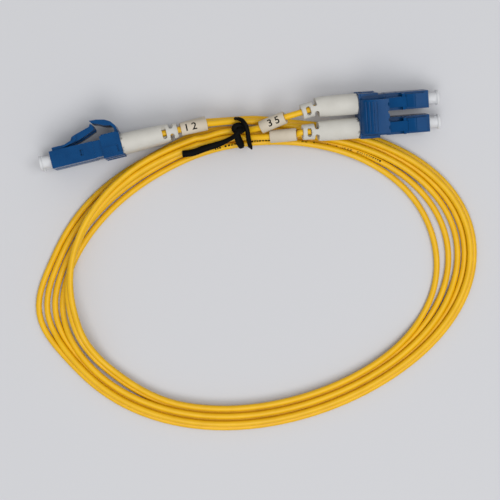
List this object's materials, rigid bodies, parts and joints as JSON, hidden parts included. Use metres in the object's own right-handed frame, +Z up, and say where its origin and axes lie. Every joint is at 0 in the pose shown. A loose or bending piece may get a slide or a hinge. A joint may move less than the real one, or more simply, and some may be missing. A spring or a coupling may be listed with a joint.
{
  "type": "duplex fibre optic patch cord",
  "caption": "Duplex fibre optic patch cord: twin push-latch plugs with clip, trigger, boots and dust caps at both ends of two thin yellow cords, coiled and tied.",
  "frame": {"origin": "on the surface that the cord lies on, below the middle of the box around both plug pairs, the marker sleeves and the tie", "axes": "+Z up from the surface, +X from the left plugs to the right plugs, +Y away from the coil"},
  "size_m": [0.1156, 0.0893, 0.014],
  "materials": {
    "blue_plastic": "satin moulded plastic",
    "white_boot": "matte soft plastic",
    "marker_plastic": "matte printed sleeve",
    "clear_cap": "translucent",
    "yellow_jacket": "smooth jacket",
    "black_tie": "matte",
    "ceramic": "polished",
    "steel": "plain",
    "buffer": "plain"
  },
  "bodies": {
    "cord_assembly": {"left_upper_front_housing": "blue_plastic", "left_upper_spring": "steel", "left_upper_rear_housing": "blue_plastic", "left_upper_crimp_sleeve": "steel", "left_upper_buffered_fibre": "buffer", "left_upper_boot": "white_boot", "left_upper_marker_sleeve": "marker_plastic", "left_lower_front_housing": "blue_plastic", "left_lower_spring": "steel", "left_lower_rear_housing": "blue_plastic", "left_lower_crimp_sleeve": "steel", "left_lower_buffered_fibre": "buffer", "left_lower_boot": "white_boot", "left_lower_marker_sleeve": "marker_plastic", "right_upper_front_housing": "blue_plastic", "right_upper_spring": "steel", "right_upper_rear_housing": "blue_plastic", "right_upper_crimp_sleeve": "steel", "right_upper_buffered_fibre": "buffer", "right_upper_boot": "white_boot", "right_upper_marker_sleeve": "marker_plastic", "right_lower_front_housing": "blue_plastic", "right_lower_spring": "steel", "right_lower_rear_housing": "blue_plastic", "right_lower_crimp_sleeve": "steel", "right_lower_buffered_fibre": "buffer", "right_lower_boot": "white_boot", "right_lower_marker_sleeve": "marker_plastic", "left_clip": "blue_plastic", "right_clip": "blue_plastic", "strand_a_left_leg": "yellow_jacket", "strand_a_coil": "yellow_jacket", "strand_a_right_leg": "yellow_jacket", "strand_b_left_leg": "yellow_jacket", "strand_b_coil": "yellow_jacket", "strand_b_right_leg": "yellow_jacket", "tie": "black_tie"},
    "left_upper_latch": {"left_upper_latch": "blue_plastic"},
    "left_upper_ferrule_unit": {"left_upper_ferrule": "ceramic", "left_upper_ferrule_holder": "steel"},
    "left_upper_dust_cap": {"left_upper_dust_cap": "clear_cap"},
    "left_lower_latch": {"left_lower_latch": "blue_plastic"},
    "left_lower_ferrule_unit": {"left_lower_ferrule": "ceramic", "left_lower_ferrule_holder": "steel"},
    "left_lower_dust_cap": {"left_lower_dust_cap": "clear_cap"},
    "right_upper_latch": {"right_upper_latch": "blue_plastic"},
    "right_upper_ferrule_unit": {"right_upper_ferrule": "ceramic", "right_upper_ferrule_holder": "steel"},
    "right_upper_dust_cap": {"right_upper_dust_cap": "clear_cap"},
    "right_lower_latch": {"right_lower_latch": "blue_plastic"},
    "right_lower_ferrule_unit": {"right_lower_ferrule": "ceramic", "right_lower_ferrule_holder": "steel"},
    "right_lower_dust_cap": {"right_lower_dust_cap": "clear_cap"},
    "left_trigger": {"left_trigger": "blue_plastic"},
    "right_trigger": {"right_trigger": "blue_plastic"}
  },
  "joints": [
    {"name": "left_upper_latch_press", "type": "hinge", "parent": "cord_assembly", "child": "left_upper_latch", "pos_m": [-0.04557, -0.0046, 0.00912], "axis": [0, 0, -1], "range_deg": [0, 13.6]},
    {"name": "left_upper_ferrule_push", "type": "slide", "parent": "cord_assembly", "child": "left_upper_ferrule_unit", "axis": [0.9718, 0.236, 0], "range_m": [0, 0.0006], "stiffness_N_per_m": 1200, "springref_m": -0.004, "deforming": ["left_upper_spring"]},
    {"name": "left_upper_dust_cap_pull", "type": "slide", "parent": "cord_assembly", "child": "left_upper_dust_cap", "axis": [-0.9718, -0.236, 0], "range_m": [0, 0.012]},
    {"name": "left_lower_latch_press", "type": "hinge", "parent": "cord_assembly", "child": "left_lower_latch", "pos_m": [-0.04557, -0.0046, 0.00287], "axis": [0, 0, -1], "range_deg": [0, 13.6]},
    {"name": "left_lower_ferrule_push", "type": "slide", "parent": "cord_assembly", "child": "left_lower_ferrule_unit", "axis": [0.9718, 0.236, 0], "range_m": [0, 0.0006], "stiffness_N_per_m": 1200, "springref_m": -0.004, "deforming": ["left_lower_spring"]},
    {"name": "left_lower_dust_cap_pull", "type": "slide", "parent": "cord_assembly", "child": "left_lower_dust_cap", "axis": [-0.9718, -0.236, 0], "range_m": [0, 0.012]},
    {"name": "right_upper_latch_press", "type": "hinge", "parent": "cord_assembly", "child": "right_upper_latch", "pos_m": [0.04497, 0.00754, 0.00775], "axis": [0.0665, -0.9857, -0.1547], "range_deg": [0, 13.6]},
    {"name": "right_upper_ferrule_push", "type": "slide", "parent": "cord_assembly", "child": "right_upper_ferrule_unit", "axis": [-0.9849, -0.0896, 0.1478], "range_m": [0, 0.0006], "stiffness_N_per_m": 1200, "springref_m": -0.004, "deforming": ["right_upper_spring"]},
    {"name": "right_upper_dust_cap_pull", "type": "slide", "parent": "cord_assembly", "child": "right_upper_dust_cap", "axis": [0.9849, 0.0896, -0.1478], "range_m": [0, 0.012]},
    {"name": "right_lower_latch_press", "type": "hinge", "parent": "cord_assembly", "child": "right_lower_latch", "pos_m": [0.04539, 0.00138, 0.00678], "axis": [0.0665, -0.9857, -0.1547], "range_deg": [0, 13.6]},
    {"name": "right_lower_ferrule_push", "type": "slide", "parent": "cord_assembly", "child": "right_lower_ferrule_unit", "axis": [-0.9849, -0.0896, 0.1478], "range_m": [0, 0.0006], "stiffness_N_per_m": 1200, "springref_m": -0.004, "deforming": ["right_lower_spring"]},
    {"name": "right_lower_dust_cap_pull", "type": "slide", "parent": "cord_assembly", "child": "right_lower_dust_cap", "axis": [0.9849, 0.0896, -0.1478], "range_m": [0, 0.012]},
    {"name": "left_trigger_press", "type": "hinge", "parent": "cord_assembly", "child": "left_trigger", "pos_m": [-0.03201, -0.00069, 0.006], "axis": [0, 0, 1], "range_deg": [0, 17], "stiffness_Nm_per_rad": 0.06},
    {"name": "right_trigger_press", "type": "hinge", "parent": "cord_assembly", "child": "right_trigger", "pos_m": [0.03139, 0.00311, 0.00993], "axis": [-0.0665, 0.9857, 0.1547], "range_deg": [0, 17], "stiffness_Nm_per_rad": 0.06}
  ],
  "couplings": [
    {"joint": "left_upper_latch_press", "follows": "left_trigger_press", "ratio": 0.8},
    {"joint": "left_lower_latch_press", "follows": "left_trigger_press", "ratio": 0.8},
    {"joint": "right_upper_latch_press", "follows": "right_trigger_press", "ratio": 0.8},
    {"joint": "right_lower_latch_press", "follows": "right_trigger_press", "ratio": 0.8}
  ]
}
